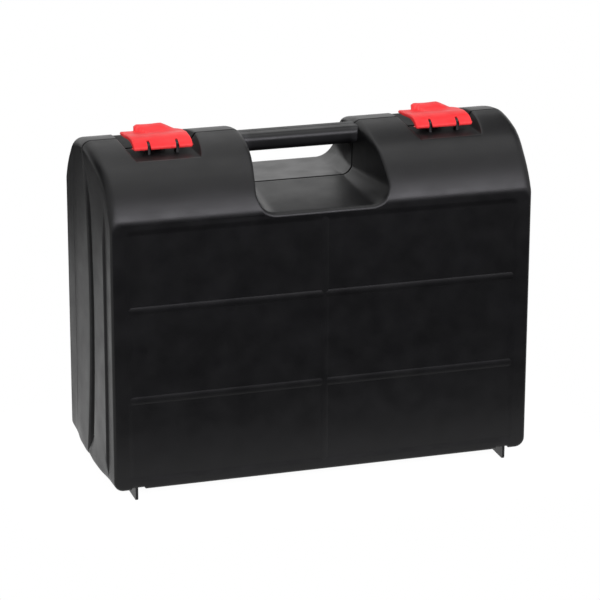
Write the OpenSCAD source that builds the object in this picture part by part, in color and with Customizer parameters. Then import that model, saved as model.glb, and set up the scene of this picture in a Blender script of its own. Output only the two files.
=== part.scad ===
// Hard tool case, standing on its hinge side.
// Two hollow half shells meet at the plane Y = 0 and hinge along the bottom
// edge. Each carries half of the grip bar. Two latches pivot on the front
// shell and hook behind ridges on the rear one.
// X runs to the right, Y to the rear, Z up from the surface it stands on.

/* [Case] */
// Width across the front and rear faces
case_w = 406; // [386:4:418]
// Depth over both closed shells
case_d = 176; // [170:2:184]
// Height from the standing surface to the top
case_h = 323; // [315:1:331]
// Thickness of the moulded walls
wall = 3.2; // [3:0.1:3.5]

/* [Outer form] */
// Half width of the flat top, from the parting plane to the shoulder arc
top_flat = 9; // [8:1:11]
// Angle between the face and the shoulder where they meet
shoulder_lean = 20.5; // [18.5:0.5:22.5]
// Rounding of the upright edges between a face and the sides
edge_r = 6; // [5:0.5:8]
// Rounding along the bottom edge of a face
toe_r = 3.6; // [3.4:0.2:5]
// Rounding between the sides and the top or bottom
corner_r = 9; // [8:0.5:11]
// How much further out each side stands at the parting plane than at a face
side_draft = 4; // [3.5:0.5:5.5]
// How far the sides curve in at half height, at the parting plane
side_bow = 6; // [4:0.5:7]
// Distance of the step in the side walls from the parting plane
band_y = 58; // [55:1:62]
// Height of that step
band_step = 1; // [0.6:0.1:1.2]

/* [Hand opening and grip] */
// Width of the hand opening at the parting plane
opening_w = 108; // [100:2:116]
// Depth of the opening's floor below the top
opening_deep = 53; // [50:1:55]
// How much further out each cheek of the opening stands at a face
opening_flare = 10; // [8:1:12]
// Depth of the grip bar, front to rear
grip_d = 27; // [25:1:30]
// Height of the grip bar
grip_h = 18.5; // [18:0.5:22]
// Rounding of the grip bar
grip_r = 7; // [6:0.5:8]

/* [Faces] */
// Margin round the sunk field of a face, at the sides
field_side = 16; // [14:1:17]
// Height of the field's lower edge above the shell's bottom
field_low = 7; // [6:1:9]
// Depth of the field
field_deep = 0.9; // [0.6:0.1:1.2]
// Width of the ribs that divide the field
rib_w = 2.4; // [1.8:0.2:3]
// Height of the lower level rib, as a share of the field's height
rib_low = 0.32; // [0.28:0.01:0.36]
// Height of the upper level rib, as a share of the field's height
rib_high = 0.69; // [0.64:0.01:0.72]

/* [Latches] */
// Distance of the middle of each latch from the side of the case
latch_side = 67; // [61:0.5:69]
// Width of the floor of the latch recess
recess_w = 60; // [60:0.5:62]
// Depth of the recess below the top
recess_deep = 10.4; // [10.2:0.1:10.8]
// Width of a latch at its pivot
latch_w = 55.6; // [54:0.2:56.4]
// Distance of the pivot in front of the parting plane
pivot_y = 23; // [22:0.5:24]
// Angle through which a latch opens
latch_open = 110; // [90:5:115]

/* [Feet and hinges] */
// Height of the feet, and room for the hinges, under the shells
foot_h = 12; // [11.6:0.1:13]
// Distance of the outer face of each front foot from the side of the case
foot_side = 21; // [19:1:25]
// Thickness of a foot
foot_t = 2.5; // [2:0.1:3]
// Distance of the middle of each hinge from the side of the case
hinge_side = 93; // [71:2:101]
// Radius of the hinge pins
hinge_pin_r = 2; // [1.6:0.1:2.2]

/* [Hidden] */

$fn = 64;
eps = 0.5;
shell_colour = "#26262a";
latch_colour = "#e8303a";
steel_colour = "#b9bcc0";

half_w = case_w / 2;
half_d = case_d / 2;
shell_z = foot_h;
latch_x = half_w - latch_side;
foot_x = half_w - foot_side;
hinge_x = half_w - hinge_side;

// The shoulder is an arc from the flat top down to the face, and the crease
// where they meet is eased by a wide rounding.
shoulder_r = (half_d - top_flat) / cos(shoulder_lean);
shoulder_z = case_h - shoulder_r;
crease_z = shoulder_z + shoulder_r * sin(shoulder_lean);
crease_r = 15;
crease_lean = acos((half_d - crease_r - top_flat) / (shoulder_r - crease_r));

// How fast the inward curve of the sides fades towards the faces
bow_fade = 1.7;

// Parting joint: a tongue on the front shell stands in a rebate of the rear one.
gap = 0.3;
groove_w = 1.5;
groove_in = 1;
rebate_in = 1.5;
tongue_in = rebate_in + gap;
tongue_long = 3;

// Hand opening: the floor falls from the parting plane to just under the crease,
// and rounds over into the face.
floor_z = case_h - opening_deep;
floor_under = 2.2;
floor_face_z = crease_z - floor_under;
floor_r = 10;
floor_face_r = 20;
floor_edge_r = 3;
lip_r = 4.5;
lip_face_r = 5;
short_step = 0.3;
grip_wall = 2.8;
grip_under = 3.2;
grip_top = case_h - grip_under;
grip_end = rebate_in - gap;

// Latch recess: it runs out where its floor meets the shoulder.
recess_z = case_h - recess_deep;
recess_slope = 0.7;
recess_lip = 0.4;

// Latch, hooked behind the catch ridge.
pivot_under = 2.5;
pivot_z = case_h - pivot_under;
pivot_pin_r = 1.5;
press = 0.02;
run = 0.06;
pivot_front = 5.3;
barrel_r = 4;
skin = 2.2;
skirt_over = 4;
skirt_z = recess_z + skirt_over;
skirt_bend = 1;
skirt_round = skirt_z + skirt_bend;
crown_y = 11;
crown_over = 3;
crown_z = case_h + crown_over;
ear_y = 21;
ear_under = 0.3;
ear_z = case_h - ear_under;
ear_flare = 1.6;
ear_round = 7;
rim_t = 2;
rim_low = 4.4;
pin_inset = 1;
slot_x = 0.24 * latch_w;
slot_w = 3.6;
slot_back = 1.6;
lug_t = 2.6;
lug_r = 2.8;
lug_foot = 0.9;
lug_gap = 0.3;
stem_room = 5.2;
tab_left = 0.25 * latch_w;
tab_right = 0.2 * latch_w;
tab_foot_left = 0.31 * latch_w;
tab_foot_right = 0.49 * latch_w;
tab_start = 2;
tab_reach = 3.5;
tab_y = ear_y + tab_reach;
tab_over = 4.8;
tab_z = case_h + tab_over;
tab_edge = 2.4;
tab_lip = 0.8;
catch_y = 12;
catch_t = 2.8;
catch_w = 24;
catch_h = 5.4;
hook_gap = 0.4;
hook_w = 20;
hook_over = 2.8;
hook_low = recess_z + hook_over;
stiffener_x = 0.36 * latch_w;

// Hinge: the axis lies just under half the height of the feet, so that the
// shells lie side by side with a little room when the case is open.
hinge_z = foot_h / 2 - 0.3;
knuckle_r = hinge_z - 0.7;
knuckle_long = 28;
knuckle_side = 15;
knuckle_gap = 0.4;
arm_long = 12;
web_out = 2;
web_in = 1;
web_low = 3;
hinge_half = knuckle_long / 2 + knuckle_gap + knuckle_side;

// Feet: the rear ones stand further in, to pass the front ones when open.
foot_pass = 4;
foot_long = 30;
foot_setback = 1;
foot_toe = 1.5;

// Fields of the two faces, divided by one upright and two level ribs.
field_z0 = shell_z + field_low;
field_top = 10;
field_z1 = crease_z - field_top;
field_r = 5;

/* Skin of a half shell. t is the distance from the parting plane, and s is how
   far the skin is set into the wall. */

function band(t, s) = s == 0 && t > band_y ? band_step : 0;

// How far an edge of radius r, at the face, has drawn the skin in at t
function edge_in(t, r, s) =
    let (run_in = max(0, t - (half_d - r)), q = max(0, r - s))
    q - sqrt(max(0, q * q - run_in * run_in));

function top_at(t, s) =
    let (out = max(0, t - top_flat), r = shoulder_r - s)
    out <= r * cos(crease_lean)
        ? shoulder_z + sqrt(r * r - out * out)
        : shoulder_z + (shoulder_r - crease_r) * sin(crease_lean)
            + sqrt(max(0, pow(crease_r - s, 2) - pow(t - half_d + crease_r, 2)));

function bottom_at(t, s) = shell_z + s + edge_in(t, toe_r, s);

function side_at(t, s) =
    half_w + side_draft * (1 - t / half_d) - s - band(t, s) - edge_in(t, edge_r, s);

function bow_at(t) = side_bow * pow(1 - t / half_d, bow_fade);

// Where the floor of the latch recess meets the shoulder
function recess_end(s) =
    top_flat + sqrt(recess_deep * (2 * (shoulder_r - s) - recess_deep));

/* Each stretch of the outline, from the middle of the opening's floor outwards
   and round to the middle of the bottom, as points [x, z]. */

function opening_part(t, s) =
    let (top = top_at(t, s),
        out = s + edge_in(t, floor_edge_r, s),
        low = floor_z - (floor_z - floor_face_z) * t / half_d - out,
        cheek = opening_w / 2 + opening_flare * pow(t / half_d, 2) + out,
        r = floor_r + (floor_face_r - floor_r) * t / half_d + out,
        lip = min(max(lip_r + (lip_face_r - lip_r) * t / half_d - s, 0.5), (top - low) / 3),
        rise = min(r, top - low - lip - short_step),
        turn = acos(1 - rise / r),
        foot = cheek - r,
        wall_x = foot + r * sin(turn))
    concat(
        [for (i = [0:4]) [foot + r * sin(turn * i / 4), low + r * (1 - cos(turn * i / 4))]],
        [for (a = [0:30:90]) [wall_x + lip * (1 - cos(a)), top - lip * (1 - sin(a))]]);

function recess_part(t, s) =
    let (top = top_at(t, s),
        deep = max(0, top - (recess_z - s)),
        near = recess_w / 2 + s,
        wide = near + recess_lip + recess_slope * deep)
    [[latch_x - wide, top], [latch_x - near, top - deep],
        [latch_x + near, top - deep], [latch_x + wide, top]];

function side_part(t, s) =
    let (x = side_at(t, s), r = corner_r - s, top = top_at(t, s), low = bottom_at(t, s),
        run_z = top - low - 2 * r)
    concat(
        [for (a = [0:22.5:90]) [x - r + r * sin(a), top - r + r * cos(a)]],
        [for (i = [1:5]) [x - bow_at(t) * (1 - pow(i / 3 - 1, 2)), top - r - run_z * i / 6]],
        [for (a = [0:30:90]) [x - r + r * cos(a), low + r - r * sin(a)]]);

// The bottom has a point under each point of the recess and of the floor's end.
function bottom_part(t, s, opening, recess) =
    [for (x = [recess[3][0], recess[2][0], recess[1][0], recess[0][0], opening[0][0]])
        [x, bottom_at(t, s)]];

function half_outline(t, s) =
    let (opening = opening_part(t, s), recess = recess_part(t, s))
    concat(opening, recess, side_part(t, s), bottom_part(t, s, opening, recess));

// Closed outline: the right half, then its mirror image back to the start
function outline(t, s) =
    let (right = half_outline(t, s), n = len(right))
    concat(right, [for (i = [n - 1:-1:0]) [-right[i][0], right[i][1]]]);

// Numbers of points in a half outline, and where its stretches start
half_n = 32;
ring_n = 2 * half_n;
recess_i = 9;
side_i = 13;
side_last = 26;

// Convex pieces that fill the right half of an outline
function fill_right() = [
    concat([half_n - 2, half_n - 1], [for (i = [0:recess_i]) i]),
    [recess_i, recess_i + 1, half_n - 3, half_n - 2],
    [recess_i + 1, recess_i + 2, half_n - 4, half_n - 3],
    [recess_i + 2, recess_i + 3, half_n - 5, half_n - 4],
    [recess_i + 3, side_i, side_last, half_n - 5],
    [for (i = [side_i:side_last]) i]];

function turned(face) = [for (i = [len(face) - 1:-1:0]) face[i]];

function fan(face) = [for (i = [1:len(face) - 2]) [face[0], face[i], face[i + 1]]];

function fill_all() =
    let (right = [for (face = fill_right()) each fan(face)])
    concat(right, [for (face = right) turned([for (i = face) ring_n - 1 - i])],
        fan([ring_n - 1, 0, half_n - 1, half_n]));

function strip(a, b) =
    [for (i = [0:ring_n - 1]) let (j = (i + 1) % ring_n)
        each [[a + i, b + i, b + j], [a + i, b + j, a + j]]];

// Distances at which the outer skin is drawn, from the face to the parting plane
outer_rows = concat(
    [for (a = [90, 75, 60, 30, 0]) half_d - edge_r * (1 - sin(a))],
    [(half_d - edge_r + band_y) / 2, band_y + 0.4, band_y - 0.4],
    [for (i = [0:5]) recess_end(0) + (top_flat - recess_end(0)) * i / 5]);

// The same for the inner skin, from the parting plane to the face
inner_rows = concat(
    [for (i = [0:4]) top_flat + (recess_end(wall) - top_flat) * i / 4],
    [for (i = [1:3]) recess_end(wall) + (half_d - edge_r - recess_end(wall)) * i / 3],
    [for (a = [30:30:90]) half_d - edge_r + (edge_r - wall) * sin(a)]);

function rim(side) = side < 0
    ? [[gap / 2, tongue_in], [-tongue_long, tongue_in], [-tongue_long, wall]]
    : [[gap / 2, rebate_in], [tongue_long + gap, rebate_in], [tongue_long + gap, wall]];

// Half shell without its fittings: side is -1 for the front and 1 for the rear
module bare_shell(side) {
    rows = concat(
        [for (t = outer_rows) [t, 0]],
        [[groove_w, 0], [gap / 2, groove_in]],
        rim(side),
        [for (t = inner_rows) [t, wall]]);
    points = [for (row = rows) for (p = outline(max(0, row[0]), row[1])) [p[0], side * row[0], p[1]]];
    last = (len(rows) - 1) * ring_n;
    faces = concat(
        fill_all(),
        [for (i = [0:len(rows) - 2]) each strip(i * ring_n, (i + 1) * ring_n)],
        [for (face = fill_all()) turned([for (i = face) i + last])]);
    polyhedron(points, side < 0 ? faces : [for (face = faces) turned(face)], convexity = 10);
}

/* Helpers */

// Profile drawn in [y, z] and run along X between two places
module along_x(x0, x1) {
    translate([x0, 0, 0]) rotate([90, 0, 90]) linear_extrude(x1 - x0) children();
}

module rod(x0, x1, y, z, r) {
    translate([x0, y, z]) rotate([0, 90, 0]) cylinder(h = x1 - x0, r = r);
}

module rounded_rect(low, high, r) {
    translate(low + [r, 0]) square([high[0] - low[0] - 2 * r, high[1] - low[1]]);
    translate(low + [0, r]) square([high[0] - low[0], high[1] - low[1] - 2 * r]);
    for (x = [low[0] + r, high[0] - r], y = [low[1] + r, high[1] - r]) translate([x, y]) circle(r);
}

module both_sides() {
    children();
    mirror([1, 0, 0]) children();
}

/* Fittings of the shells */

// Half of the hollow grip bar, open at the parting plane
module grip_half(side) {
    half_long = opening_w / 2 + grip_end;
    low = [-grip_d / 2, grip_top - grip_h];
    high = [grip_d / 2, grip_top];
    inset = [grip_wall, grip_wall];
    intersection() {
        difference() {
            along_x(-half_long, half_long) rounded_rect(low, high, grip_r);
            along_x(-half_long + grip_wall, half_long - grip_wall)
                rounded_rect(low + inset, high - inset, grip_r - grip_wall);
        }
        translate([-half_w, side < 0 ? -half_d : gap / 2, 0]) cube([case_w, half_d - gap / 2, case_h]);
    }
}

// The sunk field of a face, less the ribs that divide it
module field(side) {
    half = half_w - field_side;
    translate([0, side * half_d, 0]) rotate([90, 0, 0])
        linear_extrude(2 * field_deep, center = true) difference() {
            rounded_rect([-half, field_z0], [half, field_z1], field_r);
            translate([-rib_w / 2, 0]) square([rib_w, case_h]);
            for (share = [rib_low, rib_high])
                translate([-half_w, field_z0 + (field_z1 - field_z0) * share - rib_w / 2])
                    square([case_w, rib_w]);
        }
}

// Upright fin under the shell, flush with the face and sloped at its inner end
module foot(side) {
    tip = half_d - foot_setback;
    outer = foot_x - (side < 0 ? 0 : foot_pass);
    both_sides() along_x(outer - foot_t, outer) scale([side, 1]) polygon([
        [tip, shell_z + toe_r + eps], [tip, foot_toe], [tip - foot_toe, 0], [tip - foot_long, 0],
        [tip - foot_long - foot_h, shell_z], [tip - foot_long - foot_h, shell_z + wall / 2],
        [half_d - toe_r, shell_z + wall / 2], [half_d - wall / 2, shell_z + toe_r + eps]]);
}

// Hinge knuckle between two places, with the arm that carries it
module knuckle(side, x0, x1, bore_r) {
    difference() {
        union() {
            rod(x0, x1, 0, hinge_z, knuckle_r);
            along_x(x0, x1) scale([side, 1]) polygon([
                [arm_long, shell_z + wall / 2], [web_out, shell_z + wall / 2],
                [web_in, shell_z - web_low], [web_in, hinge_z], [knuckle_r * 0.9, hinge_z - knuckle_r * 0.4], [arm_long, shell_z]]);
        }
        rod(x0 - eps, x1 + eps, 0, hinge_z, bore_r);
    }
}

// Lugs on the floor of the front recess: they stand in the slots of a latch and hold its pin
module lugs() {
    for (x = [-slot_x, slot_x]) difference() {
        along_x(latch_x + x - lug_t / 2, latch_x + x + lug_t / 2) {
            translate([-pivot_y, pivot_z]) circle(lug_r);
            polygon([[-pivot_y - lug_r, pivot_z], [-pivot_y - lug_r - lug_foot, recess_z - wall / 2],
                [-pivot_y + lug_r + lug_foot, recess_z - wall / 2], [-pivot_y + lug_r, pivot_z]]);
        }
        rod(latch_x + x - lug_t, latch_x + x + lug_t, -pivot_y, pivot_z, pivot_pin_r + press);
    }
}

// Ridge on the floor of the rear recess, which the hook of a latch stands behind
module catch_ridge() {
    translate([latch_x - catch_w / 2, catch_y - catch_t, recess_z - wall / 2])
        cube([catch_w, catch_t, catch_h + wall / 2]);
}

/* Sub-parts */

module front_shell() {
    color(shell_colour) {
        difference() {
            bare_shell(-1);
            field(-1);
        }
        grip_half(-1);
        foot(-1);
        both_sides() lugs();
        both_sides() knuckle(-1, hinge_x - knuckle_long / 2, hinge_x + knuckle_long / 2,
            hinge_pin_r + run);
    }
}

module rear_shell() {
    color(shell_colour) {
        difference() {
            bare_shell(1);
            field(1);
        }
        grip_half(1);
        foot(1);
        both_sides() catch_ridge();
        both_sides() for (x = [hinge_x - hinge_half, hinge_x + hinge_half - knuckle_side])
            knuckle(1, x, x + knuckle_side, hinge_pin_r + press);
    }
}

// Side view of a latch, [y, z], set in from its outside by s: a front wall that
// rounds back into a hump, and a plate that falls to the ears
function hump(s) = [for (a = [0:11.25:90])
    [-crown_y - (pivot_y + pivot_front - crown_y - s) * cos(a),
        skirt_round + (crown_z - skirt_round - s) * sin(a)]];

function plate(s) = [for (u = [0.2:0.2:1])
    [-crown_y + (crown_y + ear_y) * u, crown_z - s - (crown_z - ear_z) * u * u * (3 - 2 * u)]];

// Plan of a latch: straight front part, a pointed left ear and a rounded right one
module latch_plan() {
    half = latch_w / 2;
    polygon([[-half, -half_d], [-half, -crown_y], [-half - ear_flare / 2, ear_y],
        [half - ear_round, ear_y], [half - ear_round / 3, ear_y - ear_round / 5],
        [half + ear_flare / 2, ear_y - ear_round / 2], [half + ear_flare, ear_y - ear_round],
        [half + ear_flare, 0], [half, -crown_y], [half, -half_d]]);
}

// Latch centred on X = 0: humped front with a barrel for the pin, plate, raised
// tab with a steep left end, rims along the sides, and a hook on two stiffeners
module latch() {
    front = -pivot_y - pivot_front;
    half = latch_w / 2;
    difference() {
        union() {
            intersection() {
                along_x(-latch_w, latch_w) polygon(concat([[front, skirt_z]], hump(0), plate(0),
                    [for (i = [4:-1:0]) plate(skin)[i]], [for (i = [8:-1:0]) hump(skin)[i]],
                    [[front + skin, skirt_z]]));
                linear_extrude(2 * case_h) latch_plan();
            }
            rod(-half, half, -pivot_y, pivot_z, barrel_r);
            for (x = [-half, half - rim_t]) along_x(x, x + rim_t) polygon([
                [front + skin / 2, skirt_z], [-pivot_y + barrel_r, skirt_z],
                [-crown_y / 2, crown_z - rim_low], [ear_y / 2, ear_z - skin / 2],
                [-crown_y, crown_z - skin / 2], [-pivot_y, pivot_z + skin / 2],
                [front + skin / 2, skirt_round]]);
            hull() {
                translate([-tab_foot_left, tab_start, ear_z - skin])
                    cube([tab_foot_left + tab_foot_right, ear_y - tab_start, skin]);
                translate([-tab_left, tab_y - tab_edge, tab_z - tab_lip])
                    cube([tab_left + tab_right, tab_edge, tab_lip]);
            }
            translate([-hook_w / 2, catch_y + hook_gap, hook_low])
                cube([hook_w, skin, ear_z - skin / 2 - hook_low]);
            for (x = [-stiffener_x, stiffener_x - skin]) along_x(x, x + skin) polygon([
                [-pivot_y, pivot_z], [-pivot_y + barrel_r, skirt_z],
                [catch_y, ear_z - 2 * skin], [catch_y, ear_z - skin / 2], [-crown_y, crown_z - skin / 2]]);
        }
        hull() {
            translate([-tab_foot_left + skin, catch_y + 2 * skin, ear_z - skin - eps])
                cube([tab_foot_left + tab_foot_right - 4 * skin, eps, eps]);
            translate([-tab_left + skin, tab_y - tab_edge, tab_z - tab_lip - 1.5 * skin])
                cube([tab_left + tab_right - 2 * skin, tab_edge + eps, tab_lip]);
            translate([-tab_left + skin, tab_y, ear_z - skin - eps])
                cube([tab_left + tab_right - 2 * skin, eps, eps]);
        }
        for (x = [-slot_x, slot_x]) translate([x - slot_w / 2, 0, 0]) {
            translate([0, front - eps, recess_z])
                cube([slot_w, pivot_front + eps + slot_back, 2 * recess_deep]);
            translate([0, -pivot_y, recess_z])
                cube([slot_w, stem_room, pivot_z + lug_r + lug_gap - recess_z]);
        }
        rod(-latch_w, latch_w, -pivot_y, pivot_z, pivot_pin_r + run);
    }
}

module latch_left() {
    color(latch_colour) translate([-latch_x, 0, 0]) latch();
}

module latch_right() {
    color(latch_colour) translate([latch_x, 0, 0]) latch();
}

module latch_pin(x) {
    half = latch_w / 2 - pin_inset;
    color(steel_colour) rod(x - half, x + half, -pivot_y, pivot_z, pivot_pin_r);
}

module hinge_pin(x) {
    color(steel_colour) rod(x - hinge_half, x + hinge_half, 0, hinge_z, hinge_pin_r);
}

front_shell();
rear_shell();
latch_left();
latch_right();
latch_pin(-latch_x);  // latch_pin_left
latch_pin(latch_x);  // latch_pin_right
hinge_pin(-hinge_x);  // hinge_pin_left
hinge_pin(hinge_x);  // hinge_pin_right
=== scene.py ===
# %% [markdown]
# # A hard tool case in moulded plastic
# The case is two hollow half shells that meet in the middle, hinge along the bottom
# edge and are held shut by two red latches. A grip bar runs through an opening in
# the top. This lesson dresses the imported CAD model: it loads it as a fixed frame,
# builds finer forms over it from the same few sizes, gives each a material worked
# out by nodes, and lights it as on a photographer's table.

from math import acos, cos, pi, radians, sin, sqrt

import bmesh
import bpy
import numpy as np
from mathutils import Matrix, Vector


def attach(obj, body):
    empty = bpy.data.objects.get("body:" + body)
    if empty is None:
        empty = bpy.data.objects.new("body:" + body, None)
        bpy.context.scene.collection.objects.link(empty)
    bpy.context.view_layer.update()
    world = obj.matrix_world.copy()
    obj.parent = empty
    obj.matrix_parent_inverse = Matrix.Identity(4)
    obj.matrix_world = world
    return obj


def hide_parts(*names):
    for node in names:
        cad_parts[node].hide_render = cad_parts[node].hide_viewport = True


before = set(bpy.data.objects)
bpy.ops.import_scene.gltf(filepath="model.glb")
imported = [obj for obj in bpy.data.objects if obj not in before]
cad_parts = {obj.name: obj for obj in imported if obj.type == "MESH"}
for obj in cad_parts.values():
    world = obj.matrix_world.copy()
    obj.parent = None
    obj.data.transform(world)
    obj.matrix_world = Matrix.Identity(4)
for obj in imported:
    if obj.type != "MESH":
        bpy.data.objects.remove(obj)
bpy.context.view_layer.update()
print("CAD nodes:", sorted(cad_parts))

# %% [markdown]
# ## Sizes
# Every form below is worked out from the sizes that the CAD part was drawn with, in
# millimetres: X to the right, Y to the rear, Z up from the ground. They could be
# measured from the imported meshes, but a rule says more than a measurement. It lets
# a lip or a crease be drawn finely where the CAD has only a few facets.

# %% Main sizes
case_w, case_d, case_h, wall = 406.0, 176.0, 323.0, 3.2
half_w, half_d, shell_z = case_w / 2, case_d / 2, 12.0
top_flat, shoulder_lean, crease_r = 9.0, radians(20.5), 15.0
edge_r, toe_r, corner_r = 2.6, 3.6, 9.0

shoulder_r = (half_d - top_flat) / cos(shoulder_lean)
shoulder_z = case_h - shoulder_r
crease_z = shoulder_z + shoulder_r * sin(shoulder_lean)
crease_lean = acos((half_d - crease_r - top_flat) / (shoulder_r - crease_r))
print(f"shoulder radius {shoulder_r:.1f} mm, crease at {crease_z:.1f} mm")

# %% [markdown]
# ## Sides and bottom
# The sides aren't flat walls. They bow in halfway up and narrow towards the faces.
# Each half has a fine line up its side, and the front half also a step there and a
# channel just before the parting line. The bottom hangs a little low like a belly,
# except at the places along X where the other half's feet pass when the case is
# open. All of this is only a few millimetres deep, yet it gives the side its bands
# of light and dark. A picture of such bands would be painted on. A form makes them
# fall right from every side.

# %% Sizes of the sides, the bottom and the parting line
side_out, side_draft, side_bow, bow_fade = 0.9, 2.3, 4.6, 1.7
dip, dip_reach, top_sag, sag_reach = 0.2, 8.0, 1.9, 56.0
channel_in, channel_reach, channel_step = 5.6, 30.0, 1.0
band_front, band_rear, band_step, band_soft = 67.0, 54.0, 2.0, 34.0
line_deep, line_half = 0.9, 0.9
belly, belly_reach = 1.8, 16.0
foot_room = ((186.0, 1), (184.6, 0), (173.4, 0), (172.0, 1))
gap, groove_in, rebate_in, tongue_in, tongue_long = 0.3, 1.0, 1.5, 1.8, 3.0
print("no belly from", foot_room[2][0], "to", foot_room[1][0], "mm along X")

# %% Sizes of the hand opening, grip, faces and recesses
opening_w, opening_flare, flare_bend, floor_z = 108.0, 10.8, 1.3, case_h - 52.3
floor_face_z, floor_r, floor_face_r, floor_edge_r = crease_z - 3.4, 10.0, 20.0, 3.4
lip_r, lip_face_r = 9.0, 3.4
grip_d, grip_h, grip_r, grip_top = 27.0, 16.6, 6.6, case_h - 3.4
field_side, field_z0, field_z1, field_r, field_deep = 14.0, 17.5, crease_z - 7, 7.0, 0.7
rib_w, rib_high, rib_shares = 7.4, 0.42, (0.33, 0.684)
latch_x, recess_w, recess_deep, recess_slope, recess_lip = 136.0, 60.0, 10.4, 0.7, 0.4
recess_z = case_h - recess_deep
recess_end = top_flat + sqrt(recess_deep * (2 * shoulder_r - recess_deep))
print(f"the latch recess runs out {recess_end:.1f} mm from the parting plane")

# %% [markdown]
# ## Turning numbers into meshes
# A few small helpers are used all through. Some make an object from points and
# faces, and turn its faces outwards. Others loft a skin over a stack of rings that
# all have the same number of points, and round the corners of an outline. Lofting
# suits a moulded shell, because each ring is a cross section and the rule for the
# section may change on the way.

# %% Helpers for meshes
def ease(u):
    """Rises softly from 0 to 1 as u does."""
    u = min(1.0, max(0.0, u))
    return u * u * (3 - 2 * u)


def outward(mesh):
    """Turns a closed mesh so that the volume its faces enclose is positive."""
    bm = bmesh.new()
    bm.from_mesh(mesh)
    if bm.calc_volume(signed=True) < 0:
        bmesh.ops.reverse_faces(bm, faces=bm.faces[:])
    bm.to_mesh(mesh)
    bm.free()


def each_outward(piece):
    """Makes the faces of every loose solid in a piece look outwards."""
    bm = bmesh.new()
    bm.from_mesh(piece.data)
    bmesh.ops.recalc_face_normals(bm, faces=bm.faces[:])
    bm.to_mesh(piece.data)
    bm.free()
    return piece


def placed(name, mesh):
    """A new object for a mesh, linked to the scene."""
    piece = bpy.data.objects.new(name, mesh)
    bpy.context.scene.collection.objects.link(piece)
    return piece


def smoothed(mesh, sharp):
    """Smooth shading, apart from edges that turn by more than `sharp` degrees."""
    mesh.shade_smooth()
    mesh.set_sharp_from_angle(angle=radians(sharp))


def to_object(name, points, faces, sharp=38.0):
    """Points in millimetres and faces as lists of point numbers."""
    mesh = bpy.data.meshes.new(name)
    mesh.from_pydata([[c / 1000 for c in p] for p in points], [], [list(f) for f in faces])
    mesh.validate()
    outward(mesh)
    smoothed(mesh, sharp)
    return placed(name, mesh)


print("a quarter of the way up, an eased rise is at", ease(0.25))


# %% Helpers for lofts and outlines
def strips(rings, size, closed=True):
    """Four-sided faces between neighbouring rings of a loft."""
    faces = []
    for k in range(rings - 1):
        for i in range(size if closed else size - 1):
            j = (i + 1) % size
            faces.append((k * size + i, (k + 1) * size + i, (k + 1) * size + j, k * size + j))
    return faces


def corner(before, at, after, tangent, steps):
    """A rounded corner: a curve that leaves both legs `tangent` away from it."""
    before, at, after = (np.array(p, float) for p in (before, at, after))
    legs = [before - at, after - at]
    lengths = [max(float(np.hypot(*leg)), 1e-6) for leg in legs]
    reach = min(tangent, 0.45 * min(lengths))
    start, end = at + legs[0] / lengths[0] * reach, at + legs[1] / lengths[1] * reach
    us = [i / steps for i in range(steps + 1)]
    return [tuple((1 - u) ** 2 * start + 2 * u * (1 - u) * at + u * u * end) for u in us]


def between(a, b, count):
    """Evenly spaced points inside a straight stretch, its ends left out."""
    return [tuple(np.array(a) + (np.array(b) - np.array(a)) * (i + 1) / (count + 1))
            for i in range(count)]


print("three rings of four points make", len(strips(3, 4)), "faces")

# %% [markdown]
# ## The skin of a shell
# At a distance t from the parting plane, the section of the case is a closed
# outline. It runs from the middle of the opening's floor up the cheek, over the
# lip and the top, through the latch recess, down the bowed side and back along the
# bottom. Here s is how far a skin is set into the wall, so the inner skin follows
# from the same rule. A subdivided box could be pushed into this form by hand, but
# lips, recess and side step would then drift apart.

# %% Heights at a distance from the parting plane
def band_soft_in(t, s):
    """Near the top and bottom the side narrows towards the face without a step."""
    return band_step * ease((t - band_soft) / (band_front - band_soft)) if s == 0 else 0.0


def band_in(t, s, side):
    """Between them it has a step on the front half, and a fine line on both halves."""
    if s > 0:
        return 0.0
    line_at = band_front if side < 0 else band_rear
    line = line_deep * max(0.0, 1 - abs(t - line_at) / line_half)
    if side < 0:
        return band_step * ease((t - band_front + 0.45) / 0.9) + line
    return band_soft_in(t, s) + line


def edge_in(t, r, s):
    """How far a rounding of radius r draws the skin in near the face."""
    run_in, q = max(0.0, t - (half_d - r)), max(0.0, r - s)
    return q - sqrt(max(0.0, q * q - run_in * run_in))


def top_at(t, s):
    """Height of the top and the shoulder, which end in the rounded crease."""
    out, r = max(0.0, t - top_flat), shoulder_r - s
    sag = top_sag * sin(pi * min(t, sag_reach) / sag_reach)
    if out <= r * cos(crease_lean):
        return shoulder_z + sqrt(r * r - out * out) - sag
    rise = sqrt(max(0.0, (crease_r - s) ** 2 - (t - half_d + crease_r) ** 2))
    return shoulder_z + (shoulder_r - crease_r) * sin(crease_lean) + rise - sag


def bottom_at(t, s, sunk=1.0):
    """Height of the bottom. The belly is left out where `sunk` is 0."""
    return shell_z + s + edge_in(t, toe_r, s) - belly * ease(t / belly_reach) * sunk


print(f"top {top_at(0, 0):.1f} mm high, bottom {bottom_at(40, 0):.1f} mm over the ground")


# %% The side wall
def side_at(t, s):
    """Half the width of the case at its top and bottom ends."""
    turned_in = dip * max(0.0, 1 - t / dip_reach) ** 2
    straight = half_w + side_out + side_draft * (1 - t / half_d) - turned_in
    return straight - s - band_soft_in(t, s) - edge_in(t, edge_r, s)


def bow_at(t):
    """How far the side bows in halfway up."""
    return side_bow * max(0.0, 1 - t / half_d) ** bow_fade


def channel(t, s, side):
    """A channel up the side of the front half, which drops off just before the parting line."""
    if side > 0 or t >= channel_reach:
        return 0.0
    drop = ease((t - gap / 2) / channel_step) if s < wall else 1.0
    return channel_in * (1 - max(t, channel_step) / channel_reach) ** 2 * drop


print(f"side at the parting plane {side_at(0, 0):.1f} mm, at the face {side_at(half_d, 0):.1f} mm")


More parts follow.
